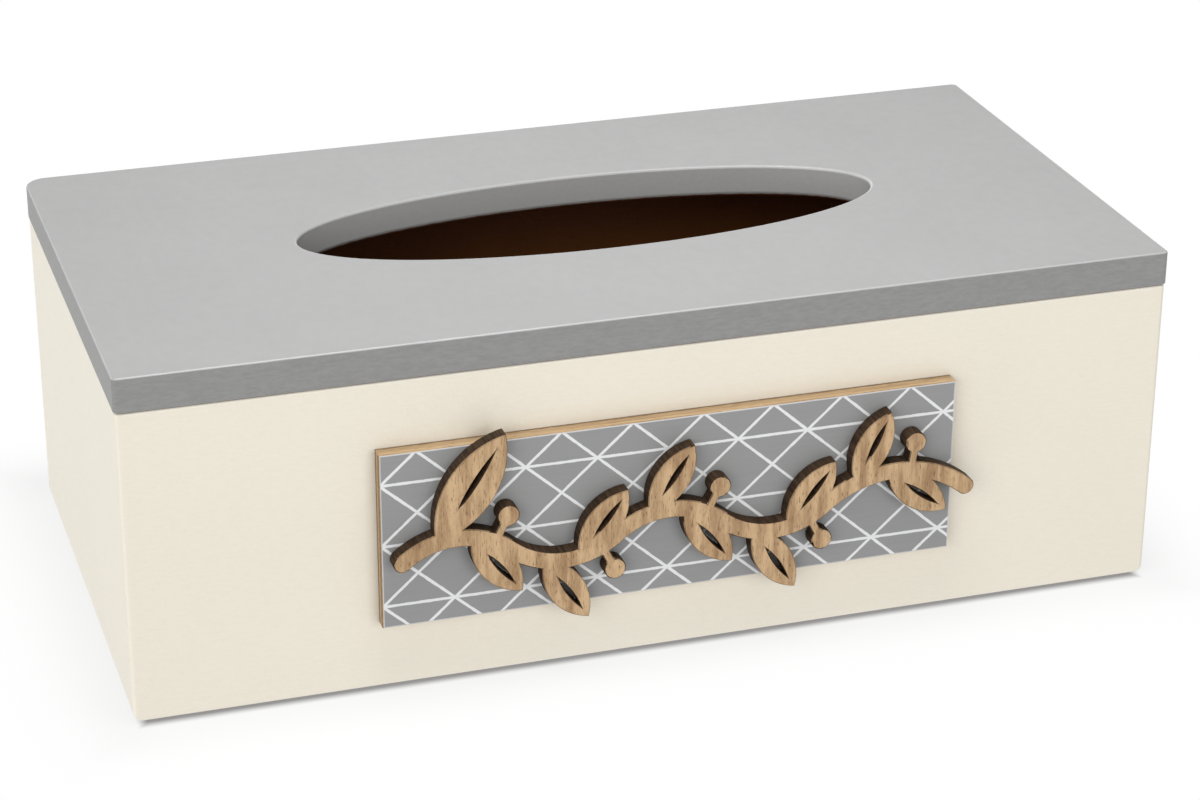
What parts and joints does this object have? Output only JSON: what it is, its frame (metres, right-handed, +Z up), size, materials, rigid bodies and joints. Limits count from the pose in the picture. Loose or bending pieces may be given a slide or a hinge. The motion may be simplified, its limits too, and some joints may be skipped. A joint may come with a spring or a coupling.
{
  "type": "tissue box cover",
  "caption": "Rectangular painted wooden tissue box cover with a hinged lid, an oval dispensing slot and a front plaque that carries a cut-out leaf ornament.",
  "frame": {"origin": "middle of the base's underside, on the surface that the box stands on", "axes": "+X along the box to the right seen from the front, -Y out of the front with the plaque, +Z up"},
  "size_m": [0.26, 0.1398, 0.0885],
  "materials": {
    "grey_paint": "satin mid grey paint on fibreboard; raw brown board below",
    "cream_paint": "satin cream paint on fibreboard, brushed along the box; raw brown board inside",
    "hardboard": "raw brown hardboard",
    "plywood": "raw plywood with its plies showing along the edges",
    "printed_sheet": "matt grey print with a white line lattice",
    "sprig_wood": "raw tan veneer face with scorched cut sides",
    "hinge_brass": "bright brass plate, lightly worn",
    "screw_brass": "bright brass",
    "brad_steel": "bright steel"
  },
  "bodies": {
    "box": {"front_wall": "cream_paint", "back_wall": "cream_paint", "left_end_wall": "cream_paint", "right_end_wall": "cream_paint", "base_panel": "hardboard", "plaque_board": "plywood", "plaque_face_sheet": "printed_sheet", "leaf_sprig": "sprig_wood", "left_hinge_box_leaf": "hinge_brass", "right_hinge_box_leaf": "hinge_brass", "left_hinge_pin": "hinge_brass", "right_hinge_pin": "hinge_brass", "box_leaf_screws": "screw_brass", "corner_brads": "brad_steel", "base_brads": "brad_steel"},
    "lid": {"lid_panel": "grey_paint", "left_hinge_lid_leaf": "hinge_brass", "right_hinge_lid_leaf": "hinge_brass", "lid_leaf_screws": "screw_brass"}
  },
  "joints": [
    {"name": "lid_hinge", "type": "hinge", "parent": "box", "child": "lid", "pos_m": [0, 0.0632, 0.0797], "axis": [-1, 0, 0], "range_deg": [0, 95]}
  ]
}
